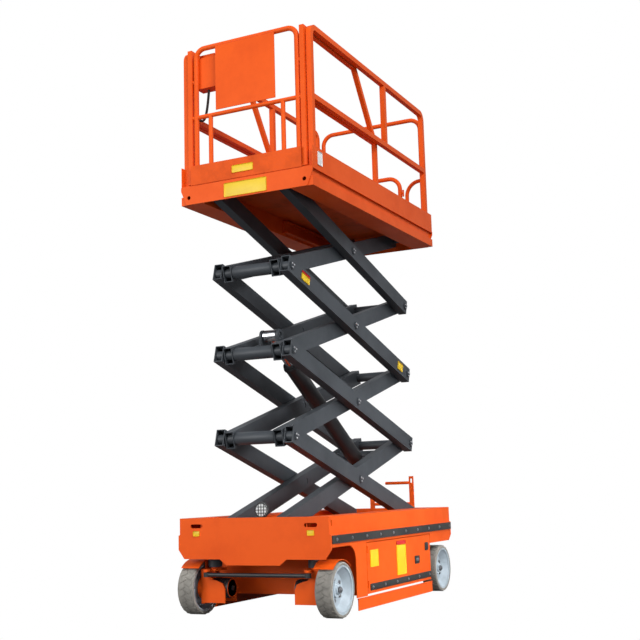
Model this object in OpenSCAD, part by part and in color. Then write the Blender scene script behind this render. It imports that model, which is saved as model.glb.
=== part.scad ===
// Electric slab scissor lift with a raised platform. Millimetres, +X to the steered end, +Y left, +Z up.
// Lengths along X are measured from the middle of the wheelbase and moved by axle_mid_x at the end.

/* [Wheels] */
// distance between the front and rear axles
wheelbase = 1918; // [1700:1:2100]
// tyre outside diameter
tyre_d = 372; // [340:1:400]
// tyre width
tyre_w = 127; // [100:1:150]
// wheel middle plane from the centreline
wheel_y = 540; // [500:1:580]
// rim outside diameter
rim_d = 326; // [300:1:340]
// radius of the rim's recessed hub plate
hub_plate_r = 104; // [90:1:115]
// kingpin distance from the centreline
kingpin_y = 400; // [360:1:420]
// kingpin diameter
kingpin_d = 60; // [40:1:80]
// forward reach of the steering lever
lever_x = 116; // [90:1:130]
// height of the tie rod
tie_z = 285; // [275:1:295]

/* [Chassis] */
// middle of the wheelbase from the middle of the whole machine
axle_mid_x = 45; // [0:1:80]
// front face of the chassis
chassis_front = 1122; // [1050:1:1200]
// rear face of the chassis
chassis_rear = -1206; // [-1300:1:-1150]
// outer face of the side skins
skin_y = 594; // [560:1:620]
// skin sheet thickness
sheet = 6; // [4:1:10]
// top edge of the chassis
chassis_top = 676; // [640:1:720]
// lower edge of the side skins
skirt_z = 108; // [90:1:140]
// side tray door front edge
tray_front = 538; // [400:1:600]
// side tray door rear edge
tray_rear = -698; // [-720:1:-600]
// side tray door lower edge
tray_low = 119; // [110:1:140]
// side tray door upper edge
tray_top = 470; // [440:1:490]
// gap between a tray door and the fixed skins
door_gap = 6; // [5:1:10]
// middle plane of the pothole guards
guard_y = 586; // [560:1:590]
// height of the pothole guard hinges
guard_hinge_z = 97; // [90:1:110]
// outer face of the set-back band along the top of the sides
band_y = 584; // [570:1:590]
// ledge under the set-back band
ledge_z = 556; // [550:1:570]
// outer face of the black rub rails
rub_y = 606; // [596:1:620]

/* [Scissor] */
// front pivot column
pivot_front = 1031; // [980:1:1060]
// rear pivot column in the stored pose
pivot_rear = -1075; // [-1100:1:-1000]
// height of the lowest pivots
pivot_z = 624; // [600:1:650]
// rise of one scissor stage in the stored pose
stage_h = 599.4; // [150:0.1:1700]
// arm tube depth
arm_d = 120; // [90:1:125]
// arm tube width
arm_w = 70; // [50:1:80]
// arm tube wall
arm_t = 6; // [4:1:10]
// inner face of the inner arms
inner_y = 162; // [140:1:180]
// inner face of the outer arms
outer_y = 242; // [236:1:260]
// pivot pin diameter
pin_d = 50; // [40:1:60]
// radial play of pins in their sleeves
pin_gap = 0.5; // [0.1:0.1:1]
// cross tube diameter
tie_tube_d = 76; // [60:1:90]

/* [Lift cylinder] */
// lower pin along the first inner arm
cyl_s1 = 1750; // [1600:1:1800]
// upper pin along the third inner arm
cyl_s3 = 270; // [200:1:350]
// lower pin below its arm's middle line
cyl_o1 = -40; // [-80:1:0]
// upper pin above its arm's middle line
cyl_o3 = 80; // [0:1:120]
// barrel diameter
barrel_d = 125; // [100:1:140]
// rod diameter
rod_d = 75; // [50:1:90]

/* [Platform] */
// platform underside
plat_z = 2951; // [2900:1:3000]
// gap left between plates and tubes that are only tacked together
seam = 0.4; // [0.2:0.1:1]
// half width of the platform
plat_y = 547; // [520:1:570]
// front face of the platform
plat_front = 1137; // [1100:1:1160]
// rear face of the platform
plat_rear = -1205; // [-1250:1:-1150]
// top of the toe boards
toe_top = 3241; // [3200:1:3260]
// middle of the top rails
rail_z = 4146; // [4050:1:4200]
// middle of the mid rails
mid_z = 3620; // [3550:1:3700]
// rail tube diameter
rail_d = 40; // [30:1:48]
// bend radius of the square rails
bend_r = 60; // [50:1:100]
// round hoop tube diameter
hoop_d = 38; // [30:1:44]
// rear hoop and gate plane
rear_rail_x = -1170; // [-1180:1:-1150]
// rear hoop posts from the centreline
rear_post_y = 484; // [470:1:490]
// edge of the rear entry from the centreline
entry_y = 336; // [330:1:360]
// height of the curved bars beside the entry
entry_z = 3560; // [3500:1:3600]
// bend radius of the curved bars beside the entry
entry_r = 125; // [90:1:140]
// tube diameter of the curved bars and the gate's cross bar
entry_d = 34; // [28:1:36]
// gate posts from the centreline
gate_y = 270; // [250:1:275]
// gate hinge from the centreline
gate_hinge_y = 300; // [296:1:304]
// rear foot of the extension's rails
ext_foot = -138; // [-300:1:0]
// front posts of the extension's rails
ext_front = 1098; // [1050:1:1110]
// posts of the extension's front hoop from the centreline
front_post_y = 428; // [400:1:440]
// rear end of the extension's top rail
ext_rear = 225; // [100:1:400]

/* [Hidden] */
$fn = 48;
axle_x = wheelbase / 2;
wheel_r = tyre_d / 2;
stub_end = wheel_y + 18;
span = pivot_front - pivot_rear;
theta = atan2(stage_h, span);
arm_l = sqrt(span * span + stage_h * stage_h);
over_front = 46;
over_rear = 36;
outer_face = outer_y + arm_w;
pin_bore = pin_d + 2 * pin_gap;
top_z = pivot_z + 4 * stage_h;
deck_z = top_z + arm_d / 2 + 8;
deck_t = 6;
ext_z = deck_z + deck_t + 6;
frame_rear = plat_rear + sheet + seam;
frame_front = plat_front - sheet - seam;
rail_y = plat_y - sheet - rail_d / 2;
ext_y = rail_y - rail_d - 6;
track_in = 322;
track_web = 359;
block_y = 321;
block_w = 32;
low_pin = [pivot_front - cyl_s1 * cos(theta) + cyl_o1 * sin(theta),
           pivot_z + cyl_s1 * sin(theta) + cyl_o1 * cos(theta)];
high_pin = [pivot_front - cyl_s3 * cos(theta) + cyl_o3 * sin(theta),
            pivot_z + 2 * stage_h + cyl_s3 * sin(theta) + cyl_o3 * cos(theta)];
cheek_y = barrel_d / 2 + 6;
cyl_l = norm(high_pin - low_pin);
cyl_a = atan2(high_pin[1] - low_pin[1], high_pin[0] - low_pin[0]);
orange = [0.95, 0.33, 0.1];
steel_grey = [0.3, 0.31, 0.33];
black = [0.06, 0.06, 0.06];

module place() {
  translate([axle_mid_x, 0, 0]) children();
}

module both() {
  children();
  mirror([0, 1, 0]) children();
}

// box from corner a to corner b
module box(a, b) {
  translate(a) cube(b - a);
}

// round bar along Y between y0 and y1
module ybar(x, z, d, y0, y1) {
  translate([x, y0, z]) rotate([-90, 0, 0]) cylinder(d = d, h = y1 - y0);
}

// round bar along Z
module zbar(x, y, d, z0, z1) {
  translate([x, y, z0]) cylinder(d = d, h = z1 - z0);
}

// round bar along X
module xbar(y, z, d, x0, x1) {
  translate([x0, y, z]) rotate([0, 90, 0]) cylinder(d = d, h = x1 - x0);
}

// quarter bend of tube in the plane of the given turn
module bend(d, r) {
  rotate_extrude(angle = 90) translate([r, 0]) circle(d = d);
}

// slide channel for a block at height z, from x0 forward
module track(z, x0) {
  box([x0, track_web, z - 50], [-100, track_web + sheet, z + 50]);
  box([x0, track_in, z - 50], [-100, track_web, z - 40]);
  box([x0, track_in, z + 40], [-100, track_web, z + 50]);
}

// welded frame: longitudinal beams, floor, lower tub, slide tracks and the front pivot lugs
module chassis_frame() {
  color(orange) place() {
    difference() {
      union() {
        box([chassis_rear + sheet, -420, 446], [chassis_front - 10, 420, 452]);
        both() {
          box([chassis_rear + sheet, track_web + sheet, 446], [chassis_front - 10, 420, chassis_top - sheet]);
          box([pivot_front - 50, 242, 446], [pivot_front + 50, 262, pivot_z]);
          ybar(pivot_front, pivot_z, 84, 242, 262);
          box([pivot_front - 50, 134, 446], [pivot_front + 50, 154, pivot_z]);
          ybar(pivot_front, pivot_z, 84, 134, 154);
          ybar(pivot_front, pivot_z, pin_d, 128, 268);
          track(pivot_z, chassis_rear + sheet);
        }
        box([-696, -331, 120], [666, 331, 446]);
        box([660, -skin_y + sheet, 120], [666, skin_y - sheet, 446]);
      }
      both() box([chassis_rear, track_web + 2 * sheet, 458], [chassis_front, 414, chassis_top - 2 * sheet]);
      box([-690, -325, 126], [660, 325, 446]);
    }
  }
}

// folded front plate with two hand slots
module front_panel() {
  color(orange) place() translate([chassis_front - 10, 0, 0]) difference() {
    rotate([90, 0, 90]) linear_extrude(10)
      polygon([[-590, chassis_top], [-590, ledge_z + 6], [-602, ledge_z], [-602, 458], [-554, 394], [-262, 394],
               [-210, 354], [210, 354], [262, 394], [554, 394], [602, 458], [602, ledge_z],
               [590, ledge_z + 6], [590, chassis_top]]);
    both() {
      box([-1, 415, 607], [11, 488, 634]);
      translate([-1, 415, 620.5]) rotate([0, 90, 0]) cylinder(d = 27, h = 12);
      translate([-1, 488, 620.5]) rotate([0, 90, 0]) cylinder(d = 27, h = 12);
    }
  }
}

// fixed side skins with the wheel arches, the set-back upper band and the top covers beside the scissor stack
module side_panels() {
  color(orange) place() both() {
    difference() {
      union() {
        translate([0, skin_y, 0]) rotate([90, 0, 0]) linear_extrude(sheet)
          polygon([[chassis_front - 10, ledge_z], [chassis_front - 10, 470], [722, 470], [722, skirt_z],
                   [tray_front + door_gap, skirt_z], [tray_front + door_gap, tray_top + door_gap],
                   [tray_rear - door_gap, tray_top + door_gap], [tray_rear - door_gap, 402], [-1150, 402], [chassis_rear, 450], [chassis_rear, ledge_z]]);
        box([chassis_rear, band_y - sheet, ledge_z - sheet], [chassis_front - 10, skin_y, ledge_z]);
        box([chassis_rear, band_y - sheet, ledge_z], [chassis_front - 10, band_y, chassis_top]);
        box([chassis_rear + sheet, 420, chassis_top - sheet], [chassis_front - 10, band_y - sheet, chassis_top]);
        difference() {
          box([722, skin_y - sheet, 360], [832, skin_y, 470]);
          translate([832, skin_y + 1, 360]) rotate([90, 0, 0]) cylinder(r = 110, h = sheet + 2);
        }
      }
      box([1068, band_y - 10, 612], [1082, band_y + 1, 652]);
    }
  }
}

// rear plate
module rear_panel() {
  color(orange) place() translate([chassis_rear, 0, 0]) rotate([90, 0, 90]) linear_extrude(sheet)
    polygon([[-578, chassis_top], [-578, 450], [-540, 402], [540, 402], [578, 450], [578, chassis_top]]);
}

// black rubbing strips along both sides
module rub_rails() {
  color(black) place() both() box([-1180, skin_y, 494], [1107, rub_y, 549]);
}

// rear step ladder of two flat uprights and round rungs
module ladder() {
  color(orange) place() {
    difference() {
      box([-1235, 222, 240], [-1221, 262, 946]);
      box([-1240, 232, 890], [-1200, 252, 925]);
    }
    box([-1235, -152, 240], [-1221, -112, 790]);
    for (z = [290, 500, 710]) ybar(-1228, z, 26, -112, 222);
    ybar(-1228, 890, 26, 0, 222);
    for (z = [420, 640]) {
      box([-1221, 230, z], [chassis_rear, 254, z + 30]);
      box([-1221, -144, z], [chassis_rear, -120, z + 30]);
    }
  }
}

// front kingpin beam and the rear axle tube with its hangers
module axles() {
  color(steel_grey) place() {
    difference() {
      union() {
        box([axle_x - 60, -kingpin_y, 386], [axle_x + 60, kingpin_y, 446]);
        both() zbar(axle_x, kingpin_y, 100, 332, 446);
      }
      both() zbar(axle_x, kingpin_y, kingpin_d + 2 * pin_gap, 300, 440);
    }
    ybar(-axle_x, wheel_r, 80, -448, 448);
    both() {
      ybar(-axle_x, wheel_r, 150, 446, 500);
      ybar(-axle_x, wheel_r, pin_d, 500, stub_end);
      box([-axle_x - 60, 330, wheel_r], [-axle_x + 60, 350, 446]);
    }
  }
}

// swing-out tray: door skin, shelf, end wall and hinge knuckles, for the left side
module tray() {
  box([tray_rear, skin_y - sheet, tray_low], [tray_front, skin_y, tray_top]);
  box([tray_rear + 12, 345, 127], [tray_front - 10, skin_y - sheet, 133]);
  box([tray_rear + 12, 345, 133], [tray_rear + 18, skin_y - sheet, 390]);
  box([tray_front - 16, 345, 133], [tray_front - 10, skin_y - sheet, 390]);
  for (z = [160, 400]) zbar(tray_front - 4, skin_y + 4, 10, z, z + 50);
}

module tray_left() {
  color(orange) place() tray();
}

module tray_right() {
  color(orange) place() mirror([0, 1, 0]) tray();
}

// battery row in the left tray as one block
module battery_left() {
  color(black) place() box([-640, 365, 133], [460, 560, 400]);
}

// pump, tank and battery row in the right tray as one block
module power_unit_right() {
  color(black) place() box([-640, -560, 133], [460, -365, 400]);
}

// hinged pothole guard plate, for the left side
module guard() {
  box([-730, guard_y - 3, 20], [690, guard_y + 3, guard_hinge_z]);
  xbar(guard_y, guard_hinge_z, 12, -730, 690);
}

module guard_left() {
  color(orange) place() guard();
}

module guard_right() {
  color(orange) place() mirror([0, 1, 0]) guard();
}

// steering yoke with its kingpin, drive motor, hub and mudguard, for the left side
module knuckle() {
  zbar(axle_x, kingpin_y, kingpin_d, 318, 436);
  box([axle_x - 80, kingpin_y - 50, 306], [axle_x + 80, 468, 322]);
  box([axle_x, kingpin_y - 22, 306], [axle_x + lever_x, kingpin_y + 22, 322]);
  zbar(axle_x + lever_x, kingpin_y, 44, 306, 322);
  box([axle_x - 80, 444, 84], [axle_x + 80, 468, 322]);
  ybar(axle_x, wheel_r, 126, 262, 446);
  ybar(axle_x, wheel_r, 160, 466, 500);
  ybar(axle_x, wheel_r, pin_d, 500, stub_end);
  for (x = [-80, 68]) translate([axle_x + x, 0, 0]) rotate([90, 0, 90]) linear_extrude(12)
    polygon([[466, 310], [425, 310], [408, 276], [376, 250], [330, 238], [292, 222], [276, 186], [276, 90],
             [455, 90], [466, 140]]);
  difference() {
    ybar(axle_x, wheel_r, 2 * wheel_r + 30, 450, 598);
    ybar(axle_x, wheel_r, 2 * wheel_r + 22, 440, 610);
    box([axle_x - 300, 440, -50], [axle_x + 300, 610, 330]);
  }
  box([axle_x - 40, 450, 318], [axle_x + 40, 462, 385]);
}

module knuckle_left() {
  color(orange) place() knuckle();
}

module knuckle_right() {
  color(orange) place() mirror([0, 1, 0]) knuckle();
}

// tie rod with an eye under each lever
module tie_rod() {
  color(steel_grey) place() {
    ybar(axle_x + lever_x, tie_z, 28, -kingpin_y, kingpin_y);
    both() zbar(axle_x + lever_x, kingpin_y, 44, tie_z - 15, tie_z + 15);
  }
}

// solid tyre about the wheel's own middle
module tyre(x, y) {
  color([0.6, 0.6, 0.58]) place() translate([x, y, wheel_r]) rotate([90, 0, 0]) rotate_extrude()
    polygon([[rim_d / 2, -tyre_w / 2 + 6], [rim_d / 2 + 14, -tyre_w / 2], [wheel_r - 12, -tyre_w / 2],
             [wheel_r, -tyre_w / 2 + 14], [wheel_r, tyre_w / 2 - 14], [wheel_r - 12, tyre_w / 2],
             [rim_d / 2 + 14, tyre_w / 2], [rim_d / 2, tyre_w / 2 - 6]]);
}

// deep dished rim with its hub plate and five bolt holes; side is +1 when the outside faces +Y
module rim(x, y, side) {
  color([0.62, 0.66, 0.7]) place() translate([x, y, wheel_r]) rotate([-90 * side, 0, 0]) difference() {
    rotate_extrude()
      polygon([[0, 20], [pin_d / 2 + pin_gap, 20], [pin_d / 2 + pin_gap, -8], [hub_plate_r, -8],
               [rim_d / 2 - 26, 40], [rim_d / 2 - 12, 40], [rim_d / 2 - 12, -58], [rim_d / 2, -58],
               [rim_d / 2, 61], [rim_d / 2 - 14, 61], [rim_d / 2 - 18, 50], [hub_plate_r + 4, 4],
               [52, 4], [48, 18], [34, 18], [30, 30], [0, 30]]);
    for (i = [0:4]) rotate(i * 72) translate([74, 0, -20]) cylinder(d = 16, h = 40);
  }
}

module tyre_fl() {
  tyre(axle_x, wheel_y);
}

module tyre_fr() {
  tyre(axle_x, -wheel_y);
}

module tyre_rl() {
  tyre(-axle_x, wheel_y);
}

module tyre_rr() {
  tyre(-axle_x, -wheel_y);
}

module rim_fl() {
  rim(axle_x, wheel_y, 1);
}

module rim_fr() {
  rim(axle_x, -wheel_y, -1);
}

module rim_rl() {
  rim(-axle_x, wheel_y, 1);
}

module rim_rr() {
  rim(-axle_x, -wheel_y, -1);
}

// one arm tube running rearward from its front pivot, with sleeves; y0 is its inner face
module arm(y0) {
  difference() {
    union() {
      difference() {
        box([-arm_l - over_rear, y0, -arm_d / 2], [over_front, y0 + arm_w, arm_d / 2]);
        box([-arm_l - over_rear - 1, y0 + arm_t, -arm_d / 2 + arm_t],
            [over_front + 1, y0 + arm_w - arm_t, arm_d / 2 - arm_t]);
      }
      for (x = [0, -arm_l / 2, -arm_l]) ybar(x, 0, 70, y0, y0 + arm_w);
    }
    for (x = [0, -arm_l / 2, -arm_l]) ybar(x, 0, pin_bore, y0 - 1, y0 + arm_w + 1);
  }
}

// arm of the top stage, its end under the deck rounded about the pivot at x; the rest runs on to far
module top_arm(y0, x, far) {
  intersection() {
    arm(y0);
    union() {
      ybar(x, 0, arm_d + 2, y0 - 1, y0 + arm_w + 1);
      box([min(x, far), y0 - 1, -arm_d], [max(x, far), y0 + arm_w + 1, arm_d]);
    }
  }
}

// turns a frame of arms to its stage's angle at the front pivot of the given level
module inner_at(level) {
  translate([pivot_front, 0, pivot_z + level * stage_h]) rotate([0, theta, 0]) children();
}

module outer_at(level) {
  translate([pivot_front, 0, pivot_z + level * stage_h]) rotate([0, -theta, 0]) children();
}

// cross tube between the two inner arms
module cross_tube(x, z, d) {
  ybar(x, z, d, -inner_y, inner_y);
}

// first inner pair, with the cylinder's lower mount
module inner_frame_1() {
  color(steel_grey) place() inner_at(0) {
    both() arm(inner_y);
    cross_tube(-arm_l, 0, tie_tube_d);
    difference() {
      union() {
        cross_tube(-cyl_s1 - 170, -20, tie_tube_d);
        both() box([-cyl_s1 - 170, cheek_y, -66], [-cyl_s1, cheek_y + 18, 14]);
        both() ybar(-cyl_s1, cyl_o1, 84, cheek_y, cheek_y + 18);
      }
      ybar(-cyl_s1, cyl_o1, pin_bore, -cheek_y - 20, cheek_y + 20);
    }
  }
}

module inner_frame_2() {
  color(steel_grey) place() inner_at(1) {
    both() arm(inner_y);
    cross_tube(0, 0, tie_tube_d);
    cross_tube(-arm_l, 0, tie_tube_d);
  }
}

// third inner pair, with the cheeks that take the cylinder's rod eye
module inner_frame_3() {
  color(steel_grey) place() inner_at(2) {
    both() arm(inner_y);
    cross_tube(0, 0, tie_tube_d);
    cross_tube(-arm_l, 0, tie_tube_d);
    both() difference() {
      union() {
        box([-cyl_s3, 60, -20], [10, 76, 30]);
        box([-cyl_s3 - 45, 60, -20], [-cyl_s3 + 60, 76, cyl_o3]);
        ybar(-cyl_s3, cyl_o3, 90, 60, 76);
      }
      ybar(-cyl_s3, cyl_o3, pin_bore, 50, 90);
    }
    both() box([-cyl_s3 - 40, 76, -20], [-cyl_s3 + 40, inner_y, 10]);
  }
}

// top inner pair, with the axle stubs of its slide blocks
module inner_frame_4() {
  color(steel_grey) place() inner_at(3) {
    both() {
      top_arm(inner_y, -arm_l, arm_d);
      ybar(-arm_l, 0, pin_bore, inner_y, inner_y + arm_w);
      ybar(-arm_l, 0, pin_d, inner_y + arm_w - 10, block_y + block_w - 3);
    }
    cross_tube(0, 0, tie_tube_d);
    cross_tube(-arm_l, 0, tie_tube_d);
  }
}

// one outer pair of the given arm with its pins; each pin is given as [distance from the front pivot, inner end, outer end]
module outer_pair(pins) {
  both() {
    children();
    for (p = pins) {
      ybar(-p[0], 0, pin_bore, outer_y, outer_face);
      ybar(-p[0], 0, pin_d, p[1], p[2]);
      ybar(-p[0], 0, 66, outer_face - 1, outer_face + 4);
    }
  }
}

module outer_arms_1() {
  color(steel_grey) place() outer_at(1)
    outer_pair([[0, inner_y + 4, outer_face], [arm_l / 2, inner_y + 4, outer_face],
                [arm_l, outer_y, block_y + block_w - 3]]) arm(outer_y);
}

module outer_arms_2() {
  color(steel_grey) place() outer_at(2)
    outer_pair([[0, inner_y + 4, outer_face], [arm_l / 2, inner_y + 4, outer_face],
                [arm_l, inner_y + 4, outer_face]]) arm(outer_y);
}

module outer_arms_3() {
  color(steel_grey) place() outer_at(3)
    outer_pair([[0, inner_y + 4, outer_face], [arm_l / 2, inner_y + 4, outer_face],
                [arm_l, inner_y + 4, outer_face]]) arm(outer_y);
}

module outer_arms_4() {
  color(steel_grey) place() outer_at(4)
    outer_pair([[0, 214, 344], [arm_l / 2, inner_y + 4, outer_face], [arm_l, inner_y + 4, outer_face]])
      top_arm(outer_y, 0, -arm_l - arm_d);
}

// slide block on the end of an arm
module slide_block(z) {
  both() difference() {
    box([pivot_rear - 40, block_y, z - 34], [pivot_rear + 40, block_y + block_w, z + 34]);
    ybar(pivot_rear, z, pin_bore, block_y - 1, block_y + block_w + 1);
  }
}

module slide_blocks_lower() {
  color(black) place() slide_block(pivot_z);
}

module slide_blocks_upper() {
  color(black) place() slide_block(top_z);
}

// cylinder frame: X runs from the lower pin to the upper pin
module cylinder_at() {
  translate([low_pin[0], 0, low_pin[1]]) rotate([0, -cyl_a, 0]) children();
}

module lift_barrel() {
  color(black) place() cylinder_at() {
    ybar(0, 0, pin_d, -cheek_y - 20, cheek_y + 20);
    ybar(0, 0, 90, -cheek_y + 6, cheek_y - 6);
    difference() {
      union() {
        xbar(0, 0, 90, 20, 80);
        xbar(0, 0, barrel_d, 70, 1370);
      }
      xbar(0, 0, barrel_d - 24, 90, 1330);
      xbar(0, 0, rod_d + 2 * pin_gap, 1320, 1380);
    }
  }
}

module lift_rod() {
  color([0.75, 0.76, 0.78]) place() cylinder_at() {
    xbar(0, 0, rod_d, cyl_l - 1370, cyl_l - 20);
    ybar(cyl_l, 0, 84, -50, 50);
  }
}

// platform frame: side channels, outriggers, slide tracks, pivot lugs and end plates
module platform_frame() {
  color(orange) place() {
    both() {
      box([frame_rear, plat_y - 46, plat_z], [frame_front, plat_y, plat_z + 64]);
      box([frame_rear, plat_y - 46, plat_z + 64], [frame_front, plat_y - 18, deck_z]);
      box([frame_rear, track_web + sheet, plat_z], [frame_front, plat_y - 46, plat_z + sheet]);
      track(top_z, frame_rear);
      box([frame_rear, track_web + sheet, plat_z + sheet], [frame_front, track_web + 2 * sheet, deck_z]);
      for (x = [-1150, -700, -250, 200, 650, 1030])
        box([x - 4, track_web + 2 * sheet, plat_z + sheet], [x + 4, plat_y - 46, deck_z]);
      for (y = [218, 324]) difference() {
        union() {
          box([pivot_front - 42, y, top_z], [pivot_front + 42, y + 16, deck_z]);
          ybar(pivot_front, top_z, 84, y, y + 16);
        }
        ybar(pivot_front, top_z, pin_bore, y - 1, y + 17);
      }
    }
    for (x = [plat_front - sheet, plat_rear]) difference() {
      translate([x, 0, 0]) rotate([90, 0, 90]) linear_extrude(sheet)
        polygon([[-502, plat_z], [502, plat_z], [plat_y, 3058], [plat_y, deck_z - 2], [-plat_y, deck_z - 2],
                 [-plat_y, 3058]]);
      both() translate([x - 1, 480, 3003]) rotate([0, 90, 0]) cylinder(d = 30, h = sheet + 2);
    }
  }
}

// main floor plate
module deck() {
  color(orange) place()
    box([plat_rear, -plat_y + 12, deck_z], [plat_front - sheet, plat_y - 12, deck_z + deck_t]);
}

// side and rear toe boards
module toe_boards() {
  color(orange) place() both() {
    box([frame_rear, plat_y - sheet, deck_z - 14], [plat_front - sheet, plat_y, toe_top]);
    box([plat_rear, 320, deck_z + deck_t], [plat_rear + sheet, plat_y - sheet - seam, toe_top]);
  }
}

// square tube along X, Y or Z, given by the box of its middle line
module square_tube(a, b, d) {
  box(a - [d / 2, d / 2, d / 2], b + [d / 2, d / 2, d / 2]);
}

// side rail of square tube with a rounded front corner, foot at z0
module side_rail(y, d, x0, x1, z0, z1) {
  square_tube([x0, y, z0 + d / 2], [x0, y, z1 - bend_r - d / 2], d);
  square_tube([x1, y, z0 + d / 2], [x1, y, z1 - bend_r - d / 2], d);
  square_tube([x0 + bend_r + d / 2, y, z1], [x1 - bend_r - d / 2, y, z1], d);
  translate([x1 - bend_r, y, z1 - bend_r]) rotate([90, 0, 0]) square_bend(d);
  translate([x0 + bend_r, y, z1 - bend_r]) rotate([90, 0, 180]) square_bend(d);
}

// quarter bend of square tube
module square_bend(d) {
  rotate_extrude(angle = 90) translate([bend_r, 0]) square(d, center = true);
}

// inverted U of round tube in the YZ plane at x
module hoop_yz(x, y0, y1, z0, z1, r) {
  zbar(x, y0, hoop_d, z0, z1 - r);
  zbar(x, y1, hoop_d, z0, z1 - r);
  ybar(x, z1, hoop_d, y0 + r, y1 - r);
  translate([x, y1 - r, z1 - r]) rotate([90, 0, 90]) bend(hoop_d, r);
  translate([x, y0 + r, z1 - r]) rotate([90, 0, -90]) bend(hoop_d, r);
}

// main guard rails: both sides, and the rear hoop with a curved bar each side of the entry
module guard_rails() {
  foot = deck_z + deck_t;
  color(orange) place() {
    both() {
      side_rail(rail_y, rail_d, -1105, 1078, foot, rail_z);
      square_tube([-1065 + seam, rail_y, mid_z], [1038 - seam, rail_y, mid_z], rail_d);
      square_tube([-246, rail_y, mid_z + rail_d + seam], [-246, rail_y, rail_z - rail_d - seam], rail_d);
      zbar(rear_rail_x, entry_y, entry_d, foot, entry_z - entry_r);
      translate([rear_rail_x, entry_y + entry_r, entry_z - entry_r]) rotate([90, 0, -90]) bend(entry_d, entry_r);
      ybar(rear_rail_x, entry_z, entry_d, entry_y + entry_r, rear_post_y);
    }
    hoop_yz(rear_rail_x, -rear_post_y, rear_post_y, foot, rail_z - 10, 100);
  }
}

// rear entry gate with its hinge barrels
module gate() {
  color(orange) place() {
    hoop_yz(rear_rail_x, -gate_y, gate_y, 3160, mid_z, 110);
    ybar(rear_rail_x, 3180, entry_d, -gate_y, gate_y);
    for (z = [3260, 3440]) {
      zbar(rear_rail_x, gate_hinge_y, 16, z, z + 60);
      box([rear_rail_x - 6, gate_y, z + 20], [rear_rail_x + 6, gate_hinge_y, z + 40]);
    }
  }
}

// roll-out deck with its front toe board
module extension_deck() {
  color(orange) place() {
    box([-160, -ext_y - 10, ext_z], [plat_front - sheet, ext_y + 10, ext_z + deck_t]);
    box([plat_front - sheet, -460, deck_z + 5], [plat_front, 460, toe_top]);
  }
}

// roll-out guard rails: two sides with a raked rear end, and the front hoop
module extension_rails() {
  d = rail_d - 4;
  foot = ext_z + deck_t;
  top = rail_z - 12;
  run = ext_rear - ext_foot;
  rise = top - mid_z;
  color(orange) place() {
    both() {
      square_tube([ext_rear, ext_y, top], [ext_front, ext_y, top], d);
      square_tube([ext_foot, ext_y, mid_z], [ext_front, ext_y, mid_z], d);
      square_tube([ext_foot, ext_y, foot + d / 2], [ext_foot, ext_y, mid_z], d);
      square_tube([ext_front, ext_y, foot + d / 2], [ext_front, ext_y, top], d);
      translate([ext_foot, ext_y, mid_z]) rotate([0, atan2(run, rise), 0])
        square_tube([0, 0, d / 2], [0, 0, norm([run, rise]) - d / 2], d);
      ybar(ext_front, mid_z, hoop_d - 6, 0, ext_y);
      ybar(ext_front, 3900, hoop_d - 10, front_post_y, ext_y);
      zbar(ext_front, 305, hoop_d - 4, foot, mid_z);
    }
    hoop_yz(ext_front, -front_post_y, front_post_y, foot, rail_z + 8, 75);
  }
}

// blank sign plate on the front hoop
module sign_panel() {
  color(orange) place() box([ext_front + hoop_d / 2, -245, 3645], [ext_front + hoop_d / 2 + sheet, 256, 4140]);
}

// operator's control box hung inside the front rail
module control_box() {
  color(orange) place() {
    box([985, -440, 3850], [ext_front - hoop_d / 2, -270, 4090]);
    box([1015, -420, 4090], [1060, -290, 4120]);
  }
}

chassis_frame();
front_panel();
side_panels();
rear_panel();
rub_rails();
ladder();
axles();
tray_left();
battery_left();
tray_right();
power_unit_right();
guard_left();
guard_right();
knuckle_left();
knuckle_right();
tie_rod();
tyre_fl();
tyre_fr();
tyre_rl();
tyre_rr();
rim_fl();
rim_fr();
rim_rl();
rim_rr();
inner_frame_1();
inner_frame_2();
inner_frame_3();
inner_frame_4();
outer_arms_1();
outer_arms_2();
outer_arms_3();
outer_arms_4();
slide_blocks_lower();
slide_blocks_upper();
lift_barrel();
lift_rod();
platform_frame();
deck();
toe_boards();
guard_rails();
gate();
extension_deck();
extension_rails();
sign_panel();
control_box();
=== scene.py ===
import math

import bpy
from mathutils import Matrix, Vector


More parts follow.
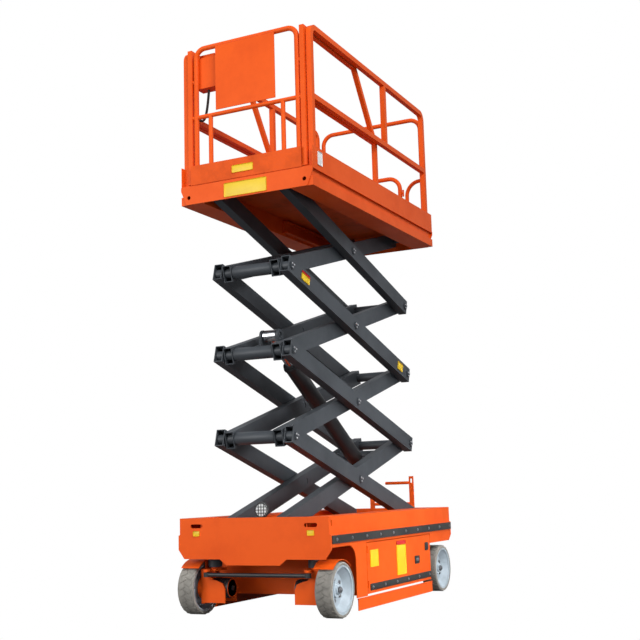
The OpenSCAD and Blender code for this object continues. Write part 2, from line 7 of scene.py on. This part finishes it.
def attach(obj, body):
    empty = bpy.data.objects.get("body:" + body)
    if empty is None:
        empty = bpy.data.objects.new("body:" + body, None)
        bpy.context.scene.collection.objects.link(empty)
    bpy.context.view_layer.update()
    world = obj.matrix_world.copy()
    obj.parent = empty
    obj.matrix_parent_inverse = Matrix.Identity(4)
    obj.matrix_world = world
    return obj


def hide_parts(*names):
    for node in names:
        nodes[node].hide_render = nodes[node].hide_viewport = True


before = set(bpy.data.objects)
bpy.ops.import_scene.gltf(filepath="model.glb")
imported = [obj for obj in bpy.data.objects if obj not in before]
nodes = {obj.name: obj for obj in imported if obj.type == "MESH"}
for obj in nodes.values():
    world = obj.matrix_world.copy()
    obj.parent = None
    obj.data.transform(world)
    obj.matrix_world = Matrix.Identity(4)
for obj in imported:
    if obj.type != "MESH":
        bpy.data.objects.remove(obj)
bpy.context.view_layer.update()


# Chassis, trays, guards, ladder, platform and rails: folded and welded steel, powder coated orange.
# The coat is slightly uneven, duller in dusty patches and faintly pebbled like sprayed paint.
def layered_coat(name, colour, worn, roughness, grain, relief=0.0, metal=0.0, gloss=0.5):
    coat = bpy.data.materials.new(name)
    coat.use_nodes = True
    tree = coat.node_tree
    shader = tree.nodes["Principled BSDF"]
    shader.inputs["Metallic"].default_value = metal
    shader.inputs["Specular IOR Level"].default_value = gloss
    place = tree.nodes.new("ShaderNodeTexCoord")
    cloud = tree.nodes.new("ShaderNodeTexNoise")
    cloud.inputs["Scale"].default_value = grain
    cloud.inputs["Detail"].default_value = 6.0
    cloud.inputs["Roughness"].default_value = 0.65
    tree.links.new(place.outputs["Object"], cloud.inputs["Vector"])
    tone = tree.nodes.new("ShaderNodeValToRGB")
    tone.color_ramp.elements[0].position = 0.32
    tone.color_ramp.elements[0].color = (*worn, 1.0)
    tone.color_ramp.elements[1].position = 0.56
    tone.color_ramp.elements[1].color = (*colour, 1.0)
    tree.links.new(cloud.outputs["Fac"], tone.inputs["Fac"])
    tree.links.new(tone.outputs["Color"], shader.inputs["Base Color"])
    sheen = tree.nodes.new("ShaderNodeMapRange")
    sheen.inputs["To Min"].default_value = min(1.0, roughness + 0.16)
    sheen.inputs["To Max"].default_value = max(0.05, roughness - 0.08)
    tree.links.new(cloud.outputs["Fac"], sheen.inputs["Value"])
    tree.links.new(sheen.outputs["Result"], shader.inputs["Roughness"])
    if relief > 0.0:
        speck = tree.nodes.new("ShaderNodeTexNoise")
        speck.inputs["Scale"].default_value = grain * 40.0
        speck.inputs["Detail"].default_value = 3.0
        tree.links.new(place.outputs["Object"], speck.inputs["Vector"])
        bump = tree.nodes.new("ShaderNodeBump")
        bump.inputs["Strength"].default_value = relief
        bump.inputs["Distance"].default_value = 0.001
        tree.links.new(speck.outputs["Fac"], bump.inputs["Height"])
        tree.links.new(bump.outputs["Normal"], shader.inputs["Normal"])
    return coat


def dress(names, coat):
    for name in names:
        nodes[name].data.materials.clear()
        nodes[name].data.materials.append(coat)


orange_coat = layered_coat("orange powder coat", (0.83, 0.104, 0.009), (0.75, 0.088, 0.008), 0.4, 3.0, 0.08,
                           gloss=0.12)
dress(["chassis_frame", "front_panel", "side_panels", "rear_panel", "ladder", "tray_left", "tray_right",
       "guard_left", "guard_right", "knuckle_left", "knuckle_right", "platform_frame", "toe_boards",
       "guard_rails", "gate", "extension_rails", "sign_panel", "control_box"], orange_coat)


# Black rubbing strips along both flanks: extruded rubber held by a row of dome-headed bolts.
# Each bolt is a low pan head on a thin washer, driven into the strip's middle line.
def new_mesh(name, add, **sizes):
    bpy.ops.object.select_all(action="DESELECT")
    add(**sizes)
    piece = bpy.context.object
    piece.name = name
    bpy.ops.object.transform_apply(location=True, rotation=True, scale=True)
    bpy.ops.object.mode_set(mode="EDIT")
    bpy.ops.mesh.select_all(action="SELECT")
    return piece


def close_mesh(piece):
    bpy.ops.object.mode_set(mode="OBJECT")
    bpy.ops.object.shade_smooth_by_angle(angle=0.6)
    return piece


def spread(master, places, coat, body):
    twins = []
    for place in places:
        twin = master.copy()
        twin.data = master.data.copy()
        twin.data.transform(place)
        bpy.context.collection.objects.link(twin)
        twins.append(twin)
    name = master.name
    bpy.data.objects.remove(master)
    bpy.ops.object.select_all(action="DESELECT")
    for twin in twins:
        twin.select_set(True)
    bpy.context.view_layer.objects.active = twins[0]
    if len(twins) > 1:
        bpy.ops.object.join()
    whole = bpy.context.view_layer.objects.active
    whole.name = name
    whole.data.materials.clear()
    whole.data.materials.append(coat)
    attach(whole, body)
    return whole


def pan_bolt(name, radius, height):
    bolt = new_mesh(name, bpy.ops.mesh.primitive_cylinder_add, vertices=20, radius=radius, depth=height,
                    location=(0.0, 0.0, height * 0.5))
    bpy.ops.mesh.bevel(offset=height * 0.42, segments=3)
    bpy.ops.mesh.primitive_cylinder_add(vertices=20, radius=radius * 1.4, depth=height * 0.3)
    bpy.ops.mesh.bevel(offset=height * 0.08, segments=1)
    return close_mesh(bolt)


rubber_black = layered_coat("black rubber", (0.018, 0.018, 0.018), (0.04, 0.038, 0.036), 0.68, 5.0, 0.15)
bolt_steel = layered_coat("dull bolt steel", (0.3, 0.3, 0.31), (0.2, 0.2, 0.21), 0.42, 20.0, 0.0, 0.9)
dress(["rub_rails"], rubber_black)
out_left = Matrix.Rotation(-math.pi / 2, 4, "X")
out_right = Matrix.Rotation(math.pi / 2, 4, "X")
rail_bolt_xs = [-1.10 + 0.2425 * step for step in range(10)]
spread(pan_bolt("rub_rail_bolts", 0.0085, 0.006),
       [Matrix.Translation((x, 0.606, 0.5215)) @ out_left for x in rail_bolt_xs]
       + [Matrix.Translation((x, -0.606, 0.5215)) @ out_right for x in rail_bolt_xs],
       bolt_steel, "chassis")


# The front plate: two blank yellow stickers, one below each hand slot.
# Stickers are thin plain film with softly cut corners.
def film(name, low, high, thin_axis):
    sizes = [high[i] - low[i] for i in range(3)]
    piece = new_mesh(name, bpy.ops.mesh.primitive_cube_add, size=1.0)
    bpy.ops.transform.resize(value=sizes)
    bpy.ops.transform.translate(value=[(high[i] + low[i]) * 0.5 for i in range(3)])
    bpy.ops.object.mode_set(mode="OBJECT")
    for edge in piece.data.edges:
        ends = [piece.data.vertices[i].co for i in edge.vertices]
        edge.select = abs(ends[0][thin_axis] - ends[1][thin_axis]) > 0.5 * sizes[thin_axis]
    bpy.ops.object.mode_set(mode="EDIT")
    bpy.ops.mesh.select_mode(type="EDGE")
    bpy.ops.mesh.bevel(offset=0.006, segments=3)
    return close_mesh(piece)


def stick(piece, coat, body):
    piece.data.materials.append(coat)
    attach(piece, body)


yellow_film = layered_coat("yellow film", (0.83, 0.56, 0.01), (0.76, 0.5, 0.01), 0.4, 6.0)
white_film = layered_coat("white film", (0.8, 0.8, 0.79), (0.72, 0.72, 0.71), 0.4, 6.0)
red_film = layered_coat("red film", (0.6, 0.02, 0.02), (0.52, 0.018, 0.018), 0.4, 6.0)
for side, middle in (("left", 0.4515), ("right", -0.4515)):
    stick(film("front_sticker_" + side, (1.1665, middle - 0.026, 0.552), (1.168, middle + 0.026, 0.588), 0),
          yellow_film, "chassis")
forward = Matrix.Rotation(math.pi / 2, 4, "Y")

# The round front lamp: a shallow black case, a white lens and a black wire grille, on a bent steel strip.
# The strip's foot is fixed to the back of the front plate, left of the middle.
latch_black = layered_coat("moulded black", (0.02, 0.02, 0.021), (0.034, 0.034, 0.034), 0.5, 9.0, 0.1)
lamp_place = Matrix.Translation((1.138, 0.064, 0.725)) @ forward
case = new_mesh("lamp_case", bpy.ops.mesh.primitive_cylinder_add, vertices=40, radius=0.056, depth=0.012)
bpy.ops.mesh.bevel(offset=0.002, segments=2)
spread(close_mesh(case), [lamp_place], latch_black, "chassis")
lens = new_mesh("lamp_lens", bpy.ops.mesh.primitive_cylinder_add, vertices=40, radius=0.047, depth=0.006,
                location=(0.0, 0.0, 0.0075))
bpy.ops.mesh.bevel(offset=0.002, segments=2)
spread(close_mesh(lens), [lamp_place], white_film, "chassis")
wire = new_mesh("lamp_grille", bpy.ops.mesh.primitive_torus_add, major_segments=40, minor_segments=8,
                major_radius=0.045, minor_radius=0.003, location=(0.0, 0.0, 0.0115))
for shift, span in ((-0.021, 0.08), (0.0, 0.09), (0.021, 0.08)):
    for spot, size in (((shift, 0.0, 0.0115), (0.005, span, 0.004)),
                       ((0.0, shift, 0.0115), (span, 0.005, 0.004))):
        bpy.ops.mesh.primitive_cube_add(size=1.0, location=spot, scale=size)
        bpy.ops.mesh.bevel(offset=0.001, segments=2)
spread(close_mesh(wire), [lamp_place], latch_black, "chassis")
bracket = new_mesh("lamp_bracket", bpy.ops.mesh.primitive_cube_add, size=1.0, location=(1.1305, 0.064, 0.66),
                   scale=(0.004, 0.04, 0.124))
bpy.ops.mesh.bevel(offset=0.001, segments=1)
bpy.ops.mesh.primitive_cube_add(size=1.0, location=(1.1432, 0.064, 0.6), scale=(0.0294, 0.04, 0.004))
bpy.ops.mesh.bevel(offset=0.001, segments=1)
stick(close_mesh(bracket), orange_coat, "chassis")

# The side tray doors: a bolted black kick strip along the foot, a recessed pull latch and a black socket.
# Blank stickers of plain film sit on each door, the tall one under a plain red head.
for side, sign, turn in (("left", 1.0, out_left), ("right", -1.0, out_right)):
    body = "tray_" + side

    def flank(name, x0, x1, z0, z1, lift, deep=0.0005):
        ys = sorted((sign * (0.594 - deep), sign * (0.594 + lift)))
        return film(name + side, (x0, ys[0], z0), (x1, ys[1], z1), 1)

    stick(flank("kick_strip_", -0.645, 0.545, 0.139, 0.185, 0.009), rubber_black, body)
    spread(pan_bolt("kick_strip_bolts_" + side, 0.008, 0.005),
           [Matrix.Translation((-0.6 + 0.2225 * step, sign * 0.603, 0.162)) @ turn for step in range(6)],
           bolt_steel, body)
    stick(flank("door_sticker_", 0.393, 0.533, 0.3, 0.419, 0.0012), yellow_film, body)
    stick(flank("tall_sticker_", -0.13, 0.045, 0.205, 0.425, 0.0012), yellow_film, body)
    stick(flank("tall_sticker_head_", -0.13, 0.045, 0.427, 0.455, 0.0012), red_film, body)
    stick(flank("latch_plate_", -0.405, -0.315, 0.262, 0.322, 0.004), latch_black, body)
    stick(flank("latch_lever_", -0.392, -0.34, 0.28, 0.304, 0.009), bolt_steel, body)
    stick(flank("socket_cover_", -0.6, -0.536, 0.352, 0.414, 0.008), latch_black, body)

# What the trays carry: batteries on one side, pump and charger on the other, in plain black cases.
# Only their tops and outer faces show when a tray is swung out.
dress(["battery_left", "power_unit_right"], latch_black)

# The axle beam, tie rod and drive motors: the motors are finned black cans behind each steered wheel.
# A can slips over the motor's body and ends in a bolted cap.
grey_coat = layered_coat("dark grey arm paint", (0.05, 0.057, 0.065), (0.036, 0.041, 0.047), 0.42, 2.2, 0.08,
                         gloss=0.35)
black_coat = layered_coat("black machine paint", (0.02, 0.02, 0.022), (0.034, 0.033, 0.032), 0.42, 4.0, 0.05)
dress(["axles"], grey_coat)
dress(["tie_rod"], black_coat)
for side, sign in (("left", 1.0), ("right", -1.0)):
    can = new_mesh("drive_motor_can_" + side, bpy.ops.mesh.primitive_cylinder_add, vertices=40, radius=0.0645,
                   depth=0.176, location=(0.0, 0.0, 0.35))
    bpy.ops.mesh.bevel(offset=0.006, segments=2)
    for step in range(6):
        bpy.ops.mesh.primitive_cylinder_add(vertices=40, radius=0.068, depth=0.008,
                                            location=(0.0, 0.0, 0.285 + 0.022 * step))
        bpy.ops.mesh.bevel(offset=0.002, segments=1)
    bpy.ops.mesh.primitive_cylinder_add(vertices=6, radius=0.02, depth=0.012, location=(0.0, 0.0, 0.258))
    bpy.ops.mesh.bevel(offset=0.002, segments=1)
    close_mesh(can)
    can.data.transform(Matrix.Translation((1.004, 0.0, 0.186)) @ (out_left if sign > 0 else out_right))
    stick(can, black_coat, "knuckle_" + side)

# Wheels: solid tyres of pale non-marking rubber with a herringbone tread, pressed on painted steel rims.
# The tyre is a bevelled ring; each wide tread bar is slanted, curved to the tyre and copied round both halves.
tyre_rubber = layered_coat("pale grey rubber", (0.29, 0.275, 0.245), (0.2, 0.19, 0.17), 0.78, 9.0, 0.2,
                           gloss=0.2)
rim_coat = layered_coat("pale rim paint", (0.43, 0.5, 0.55), (0.35, 0.4, 0.44), 0.4, 7.0, 0.05, 0.0, 0.3)
dress(["rim_fl", "rim_fr", "rim_rl", "rim_rr"], rim_coat)
tyre_radius, hub_height = 0.1857, 0.186


def select_caps(piece):
    bpy.ops.object.mode_set(mode="OBJECT")
    for face in piece.data.polygons:
        face.select = len(face.vertices) > 4
    bpy.ops.object.mode_set(mode="EDIT")
    bpy.ops.mesh.select_mode(type="FACE")


tyre = new_mesh("tyre_ring", bpy.ops.mesh.primitive_cylinder_add, vertices=96, radius=0.1822, depth=0.127,
                end_fill_type="NGON")
select_caps(tyre)
bpy.ops.mesh.bevel(offset=0.009, segments=3)
select_caps(tyre)
bpy.ops.mesh.inset(thickness=0.0099)
bpy.ops.mesh.delete(type="FACE")
bpy.ops.mesh.select_mode(type="EDGE")
bpy.ops.mesh.select_non_manifold()
bpy.ops.mesh.bridge_edge_loops()
close_mesh(tyre)
bar = new_mesh("tread_bar", bpy.ops.mesh.primitive_cube_add, size=1.0)
bpy.ops.transform.resize(value=(0.0362, 0.05, 0.007))
bpy.ops.mesh.subdivide(number_cuts=4)
bpy.ops.transform.rotate(value=math.radians(28.0), orient_axis="Z", center_override=(0.0, 0.0, 0.0))
bpy.ops.transform.translate(value=(0.0, 0.0268, 0.1823))
bpy.ops.object.mode_set(mode="OBJECT")
for corner in bar.data.vertices:
    roll, reach = corner.co.x / tyre_radius, corner.co.z
    corner.co.x, corner.co.z = reach * math.sin(roll), reach * math.cos(roll)
close_mesh(bar)
across = Matrix.Rotation(math.pi / 2, 4, "X")
mirror = Matrix.Scale(-1.0, 4, (0.0, 1.0, 0.0))
ring_turns = [Matrix.Rotation(2.0 * math.pi * step / 24.0, 4, "Y") for step in range(24)]
ring_turns += [Matrix.Rotation(2.0 * math.pi * (step + 0.5) / 24.0, 4, "Y") @ mirror for step in range(24)]
wheels = (("fl", 1.004, 1.0, out_left), ("fr", 1.004, -1.0, out_right),
          ("rl", -0.914, 1.0, out_left), ("rr", -0.914, -1.0, out_right))


def twin_of(master, name):
    twin = master.copy()
    twin.data = master.data.copy()
    twin.name = name
    bpy.context.collection.objects.link(twin)
    return twin


for mark, hub_x, sign, _ in wheels:
    hub = Matrix.Translation((hub_x, sign * 0.54, hub_height))
    ring = spread(twin_of(tyre, "tyre_ring_" + mark), [hub @ across], tyre_rubber, "wheel_" + mark)
    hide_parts("tyre_" + mark)
    spread(twin_of(bar, "tread_bars_" + mark), [hub @ step for step in ring_turns], tyre_rubber,
           "wheel_" + mark)
bpy.data.objects.remove(tyre)
bpy.data.objects.remove(bar)

# Wheel fixings: five hexagon bolts round each hub plate and one large hub nut on the axle's end.
# All are plated steel with chamfered heads.
bolt = new_mesh("wheel_bolt", bpy.ops.mesh.primitive_cylinder_add, vertices=6, radius=0.012, depth=0.009,
                location=(0.0, 0.0, 0.0045))
bpy.ops.mesh.bevel(offset=0.0015, segments=2)
bpy.ops.mesh.primitive_cylinder_add(vertices=24, radius=0.016, depth=0.003, location=(0.0, 0.0, 0.001))
bpy.ops.mesh.bevel(offset=0.0008, segments=1)
close_mesh(bolt)
nut = new_mesh("hub_nut", bpy.ops.mesh.primitive_cylinder_add, vertices=6, radius=0.024, depth=0.016,
               location=(0.0, 0.0, 0.008))
bpy.ops.mesh.bevel(offset=0.003, segments=2)
bpy.ops.mesh.primitive_cylinder_add(vertices=24, radius=0.013, depth=0.012, location=(0.0, 0.0, 0.017))
bpy.ops.mesh.bevel(offset=0.002, segments=2)
close_mesh(nut)
bolt_ring = [Matrix.Rotation(math.radians(72.0 * step), 4, "Z") @ Matrix.Translation((0.074, 0.0, 0.0))
             for step in range(5)]
for mark, hub_x, sign, turn in wheels:
    hub_plate = Matrix.Translation((hub_x, sign * 0.544, hub_height)) @ turn
    axle_end = Matrix.Translation((hub_x, sign * 0.57, hub_height)) @ turn
    spread(twin_of(bolt, "wheel_bolts_" + mark), [hub_plate @ step for step in bolt_ring], bolt_steel,
           "wheel_" + mark)
    spread(twin_of(nut, "hub_nut_" + mark), [axle_end], bolt_steel, "wheel_" + mark)
bpy.data.objects.remove(bolt)
bpy.data.objects.remove(nut)

# The scissor arms: rectangular steel tube with welded sleeves, sprayed dark grey.
# Each pivot pin is locked by a round plate in arm paint with three zinc bolts, on the outer arm's face.
dress(["inner_frame_1", "inner_frame_2", "inner_frame_3", "inner_frame_4",
       "outer_arms_1", "outer_arms_2", "outer_arms_3", "outer_arms_4"], grey_coat)
bright_zinc = layered_coat("bright zinc", (0.62, 0.63, 0.65), (0.45, 0.46, 0.48), 0.34, 14.0, 0.0, 0.75)
front_pin_x, low_pin_z = 1.076, 0.624
stage_rise, stage_span = 0.5994, 2.106
arm_tilt = math.atan2(stage_rise, stage_span)
arm_length = math.hypot(stage_rise, stage_span)


def arm_front(level):
    pin = Matrix.Translation((front_pin_x, 0.0, low_pin_z + level * stage_rise))
    return pin @ Matrix.Rotation(-arm_tilt, 4, "Y")


plate = new_mesh("pin_keeper", bpy.ops.mesh.primitive_cylinder_add, vertices=32, radius=0.027, depth=0.004,
                 location=(0.0, 0.0, 0.002))
bpy.ops.mesh.bevel(offset=0.0012, segments=2)
close_mesh(plate)
head = new_mesh("pin_bolt", bpy.ops.mesh.primitive_cylinder_add, vertices=6, radius=0.0075, depth=0.006,
                location=(0.0165, 0.0, 0.0065))
bpy.ops.mesh.bevel(offset=0.001, segments=1)
close_mesh(head)
head_turns = [Matrix.Rotation(math.radians(angle), 4, "Z") for angle in (90.0, 210.0, 330.0)]
for level in (1, 2, 3, 4):
    front = arm_front(level)
    stops = [0.0, 0.5 * arm_length, arm_length]
    if level == 1:
        stops.remove(arm_length)
    if level == 4:
        stops.remove(0.0)
    pins = [front @ Matrix.Translation((-stop, 0.316, 0.0)) @ out_left for stop in stops]
    pins += [front @ Matrix.Translation((-stop, -0.316, 0.0)) @ out_right for stop in stops]
    spread(twin_of(plate, "pin_keepers_%d" % level), pins, grey_coat, "outer_%d" % level)
    spread(twin_of(head, "pin_bolts_%d" % level), [pin @ turn for pin in pins for turn in head_turns],
           bright_zinc, "outer_%d" % level)
bpy.data.objects.remove(plate)
bpy.data.objects.remove(head)
for name, x0, x1, z0, z1, coat in (("arm_sticker_front", -0.27, -0.15, -0.034, 0.016, yellow_film),
                                   ("arm_sticker_front_head", -0.27, -0.15, 0.018, 0.034, red_film),
                                   ("arm_sticker_rear", -2.06, -1.96, -0.034, 0.034, yellow_film)):
    for side, ys in (("left", (0.3115, 0.3132)), ("right", (-0.3132, -0.3115))):
        note = film(name + "_" + side, (x0, ys[0], z0), (x1, ys[1], z1), 1)
        note.data.transform(arm_front(3))
        stick(note, coat, "outer_3")

# The front cross tubes of the inner frames: a rolled steel sleeve lies round each tube between the two arms.
# A weld bead closes each end, and the whole is sprayed with the arms.
sleeve = new_mesh("cross_tube_sleeve", bpy.ops.mesh.primitive_cylinder_add, vertices=48, radius=0.046,
                  depth=0.312)
bpy.ops.mesh.bevel(offset=0.003, segments=2)
for bead in (-0.155, 0.155):
    bpy.ops.mesh.primitive_torus_add(major_segments=48, minor_segments=10, major_radius=0.041, minor_radius=0.005,
                                     location=(0.0, 0.0, bead))
close_mesh(sleeve)
for level in (1, 2, 3):
    tube = Matrix.Translation((front_pin_x, 0.0, low_pin_z + level * stage_rise)) @ across
    spread(twin_of(sleeve, "cross_tube_sleeve_%d" % level), [tube], grey_coat,
           "inner_%d" % (level + 1))
bpy.data.objects.remove(sleeve)

# The slide blocks at the loose ends of the stack are cut from black wear plastic.
# They run in the channels of the chassis and the platform.
dress(["slide_blocks_lower", "slide_blocks_upper"], latch_black)

# The lift cylinder: a black painted barrel and a hard chromed rod.
# A gland nut with flats closes the barrel's upper end.
dress(["lift_barrel"], black_coat)
rod_chrome = layered_coat("hard chrome", (0.7, 0.71, 0.73), (0.6, 0.61, 0.63), 0.16, 6.0, 0.0, 1.0)
dress(["lift_rod"], rod_chrome)
low_pin = Vector((front_pin_x - 1.75 * math.cos(arm_tilt) - 0.04 * math.sin(arm_tilt), 0.0,
                  low_pin_z + 1.75 * math.sin(arm_tilt) - 0.04 * math.cos(arm_tilt)))
high_pin = Vector((front_pin_x - 0.27 * math.cos(arm_tilt) + 0.08 * math.sin(arm_tilt), 0.0,
                   low_pin_z + 2.0 * stage_rise + 0.27 * math.sin(arm_tilt) + 0.08 * math.cos(arm_tilt)))
cylinder_turn = (high_pin - low_pin).to_track_quat("Z", "Y").to_matrix().to_4x4()
gland = new_mesh("gland_nut", bpy.ops.mesh.primitive_cylinder_add, vertices=8, radius=0.069, depth=0.03,
                 location=(0.0, 0.0, 1.352))
bpy.ops.mesh.bevel(offset=0.004, segments=2)
bpy.ops.mesh.primitive_cylinder_add(vertices=40, radius=0.048, depth=0.01, location=(0.0, 0.0, 1.371))
bpy.ops.mesh.bevel(offset=0.003, segments=2)
close_mesh(gland)
spread(gland, [Matrix.Translation(low_pin) @ cylinder_turn], black_coat, "lift_barrel")

# The main floor and the roll-out deck: steel plate, coated like the frame and pressed with a grip pattern.
# The pressed pattern is a close field of round cells, raised in the coat.
floor_coat = layered_coat("orange grip floor", (0.77, 0.095, 0.009), (0.58, 0.073, 0.008), 0.5, 5.0,
                          gloss=0.12)
floor_tree = floor_coat.node_tree
floor_place = floor_tree.nodes.new("ShaderNodeTexCoord")
grip = floor_tree.nodes.new("ShaderNodeTexVoronoi")
grip.inputs["Scale"].default_value = 38.0
floor_tree.links.new(floor_place.outputs["Object"], grip.inputs["Vector"])
raised = floor_tree.nodes.new("ShaderNodeBump")
raised.inputs["Strength"].default_value = 0.5
raised.inputs["Distance"].default_value = 0.003
floor_tree.links.new(grip.outputs["Distance"], raised.inputs["Height"])
floor_tree.links.new(raised.outputs["Normal"], floor_tree.nodes["Principled BSDF"].inputs["Normal"])
dress(["deck", "extension_deck"], floor_coat)

# Platform front and flanks: blank stickers of plain film.
# The wide one is on the fixed front plate, the small one on the roll-out deck's toe board.
stick(film("front_wide_sticker", (1.1815, -0.174, 2.963), (1.183, 0.178, 3.066), 0), yellow_film,
      "platform")
stick(film("toe_board_sticker", (1.1815, -0.105, 3.135), (1.183, 0.07, 3.19), 0), yellow_film,
      "extension")
stick(film("flank_sticker", (1.03, 0.5465, 3.115), (1.1, 0.548, 3.215), 1), white_film,
      "platform")
stick(film("flank_sticker_right", (1.03, -0.548, 3.115), (1.1, -0.5465, 3.215), 1), white_film,
      "platform")

# The operator's control box: a black panel on its rear face with a joystick, a stop button and two switches.
# The joystick has a rubber boot and a ball grip; the stop button is a red mushroom head on a short stem.
panel = film("control_panel", (1.027, -0.43, 3.87), (1.0305, -0.28, 4.08), 0)
stick(panel, latch_black, "extension")
backward = Matrix.Rotation(-math.pi / 2, 4, "Y")
boot = new_mesh("joystick", bpy.ops.mesh.primitive_cone_add, vertices=24, radius1=0.026, radius2=0.008,
                depth=0.03, location=(0.0, 0.0, 0.015))
bpy.ops.mesh.bevel(offset=0.003, segments=2)
bpy.ops.mesh.primitive_cylinder_add(vertices=16, radius=0.007, depth=0.05, location=(0.0, 0.0, 0.05))
bpy.ops.mesh.bevel(offset=0.002, segments=2)
bpy.ops.mesh.primitive_uv_sphere_add(segments=20, ring_count=12, radius=0.016, location=(0.0, 0.0, 0.078))
bpy.ops.transform.resize(value=(1.0, 1.0, 1.25), center_override=(0.0, 0.0, 0.078))
close_mesh(boot)
spread(boot, [Matrix.Translation((1.028, -0.36, 3.93)) @ backward], latch_black, "extension")
stop = new_mesh("stop_button", bpy.ops.mesh.primitive_cylinder_add, vertices=28, radius=0.011, depth=0.02,
                location=(0.0, 0.0, 0.01))
bpy.ops.mesh.bevel(offset=0.002, segments=1)
bpy.ops.mesh.primitive_cylinder_add(vertices=28, radius=0.02, depth=0.014, location=(0.0, 0.0, 0.026))
bpy.ops.mesh.bevel(offset=0.005, segments=3)
close_mesh(stop)
spread(stop, [Matrix.Translation((1.027, -0.31, 4.03)) @ backward], red_film, "extension")
switch = new_mesh("toggle_switches", bpy.ops.mesh.primitive_cylinder_add, vertices=16, radius=0.009,
                  depth=0.006, location=(0.0, 0.0, 0.003))
bpy.ops.mesh.bevel(offset=0.0015, segments=2)
bpy.ops.mesh.primitive_cylinder_add(vertices=12, radius=0.003, depth=0.022, location=(0.0, 0.0, 0.014))
bpy.ops.mesh.bevel(offset=0.001, segments=1)
close_mesh(switch)
spread(switch, [Matrix.Translation((1.027, y, 4.03)) @ backward for y in (-0.4, -0.365)], bolt_steel,
       "extension")

# The control cable: black sheathed cable from under the control box, sagging to the roll-out deck's mid rail.
# Its ends are held; the sag between them hangs free.
cable_points = []
for step in range(25):
    t = step / 24.0
    cable_points.append(Vector((1.075 - 0.02 * math.sin(math.pi * t), -0.36 - 0.1 * t,
                                3.852 - 0.21 * t - 0.1 * math.sin(math.pi * t))))
bpy.ops.object.select_all(action="DESELECT")
bpy.ops.curve.primitive_bezier_curve_add()
cable = bpy.context.object
cable.name = "control_cable"
cable.data.splines.clear()
line = cable.data.splines.new("POLY")
line.points.add(len(cable_points) - 1)
for point, spot in zip(line.points, cable_points):
    point.co = (*spot, 1.0)
cable.data.bevel_depth = 0.0095
cable.data.bevel_resolution = 4
cable.data.materials.append(rubber_black)
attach(cable, "extension")

# The stage: a white floor, a white sky, a broad key lamp, a weaker fill, a narrow side lamp and the camera.
# The sky lights the machine softly and shows plain white to the camera.
bpy.ops.object.select_all(action="DESELECT")
bpy.ops.mesh.primitive_plane_add(size=60.0, location=(0.0, 0.0, 0.0))
ground = bpy.context.object
ground.name = "pale floor"
floor_paint = layered_coat("pale floor coat", (0.2, 0.2, 0.2), (0.18, 0.18, 0.18), 0.9, 0.6, 0.0, 0.0, 0.1)
paint_tree = floor_paint.node_tree
white_glow = paint_tree.nodes.new("ShaderNodeEmission")
white_glow.inputs["Color"].default_value = (1.0, 1.0, 1.0, 1.0)
white_glow.inputs["Strength"].default_value = 1.0
floor_ray = paint_tree.nodes.new("ShaderNodeLightPath")
floor_pick = paint_tree.nodes.new("ShaderNodeMixShader")
paint_tree.links.new(floor_ray.outputs["Is Camera Ray"], floor_pick.inputs[0])
paint_tree.links.new(paint_tree.nodes["Principled BSDF"].outputs["BSDF"], floor_pick.inputs[1])
paint_tree.links.new(white_glow.outputs["Emission"], floor_pick.inputs[2])
paint_tree.links.new(floor_pick.outputs["Shader"], paint_tree.nodes["Material Output"].inputs["Surface"])
ground.data.materials.append(floor_paint)
sky = bpy.data.worlds.new("white sky")
sky.use_nodes = True
sky_tree = sky.node_tree
soft = sky_tree.nodes["Background"]
soft.inputs["Color"].default_value = (0.93, 0.95, 1.0, 1.0)
soft.inputs["Strength"].default_value = 0.5
plain = sky_tree.nodes.new("ShaderNodeBackground")
plain.inputs["Color"].default_value = (1.0, 1.0, 1.0, 1.0)
plain.inputs["Strength"].default_value = 1.0
ray = sky_tree.nodes.new("ShaderNodeLightPath")
pick = sky_tree.nodes.new("ShaderNodeMixShader")
sky_tree.links.new(ray.outputs["Is Camera Ray"], pick.inputs[0])
sky_tree.links.new(soft.outputs["Background"], pick.inputs[1])
sky_tree.links.new(plain.outputs["Background"], pick.inputs[2])
sky_tree.links.new(pick.outputs["Shader"], sky_tree.nodes["World Output"].inputs["Surface"])
bpy.context.scene.world = sky
lamps = (("key lamp", (6.0, 7.5, 9.5), (0.0, 0.0, 2.0), 960.0, 5.0, math.pi),
         ("fill lamp", (9.0, -4.0, 3.5), (0.0, 0.0, 2.0), 420.0, 5.0, math.pi),
         ("side lamp", (0.5, 6.5, 2.0), (0.0, 0.0, 0.3), 26.0, 2.5, 0.7))
for name, spot, target, power, size, spill in lamps:
    lamp = bpy.data.objects.new(name, bpy.data.lights.new(name, "AREA"))
    lamp.data.energy = power
    lamp.data.size = size
    lamp.data.spread = spill
    lamp.location = spot
    lamp.rotation_euler = (Vector(target) - Vector(spot)).to_track_quat("-Z", "Y").to_euler()
    bpy.context.collection.objects.link(lamp)
camera_spot = Vector((7.6947, 3.8067, 0.8547))
camera_yaw, camera_pitch, camera_roll = 3.6025, 0.1552, -0.0278
sight = Vector((math.cos(camera_yaw) * math.cos(camera_pitch), math.sin(camera_yaw) * math.cos(camera_pitch),
                math.sin(camera_pitch)))
level_right = sight.cross(Vector((0.0, 0.0, 1.0))).normalized()
level_up = level_right.cross(sight)
right = math.cos(camera_roll) * level_right + math.sin(camera_roll) * level_up
up = -math.sin(camera_roll) * level_right + math.cos(camera_roll) * level_up
camera = bpy.data.objects.new("photo camera", bpy.data.cameras.new("photo camera"))
camera.data.sensor_width = 36.0
camera.data.lens = 60.83
camera.matrix_world = Matrix((
    (right.x, up.x, -sight.x, camera_spot.x),
    (right.y, up.y, -sight.y, camera_spot.y),
    (right.z, up.z, -sight.z, camera_spot.z),
    (0.0, 0.0, 0.0, 1.0)))
bpy.context.collection.objects.link(camera)
bpy.context.scene.camera = camera
bpy.context.scene.view_settings.view_transform = "Standard"
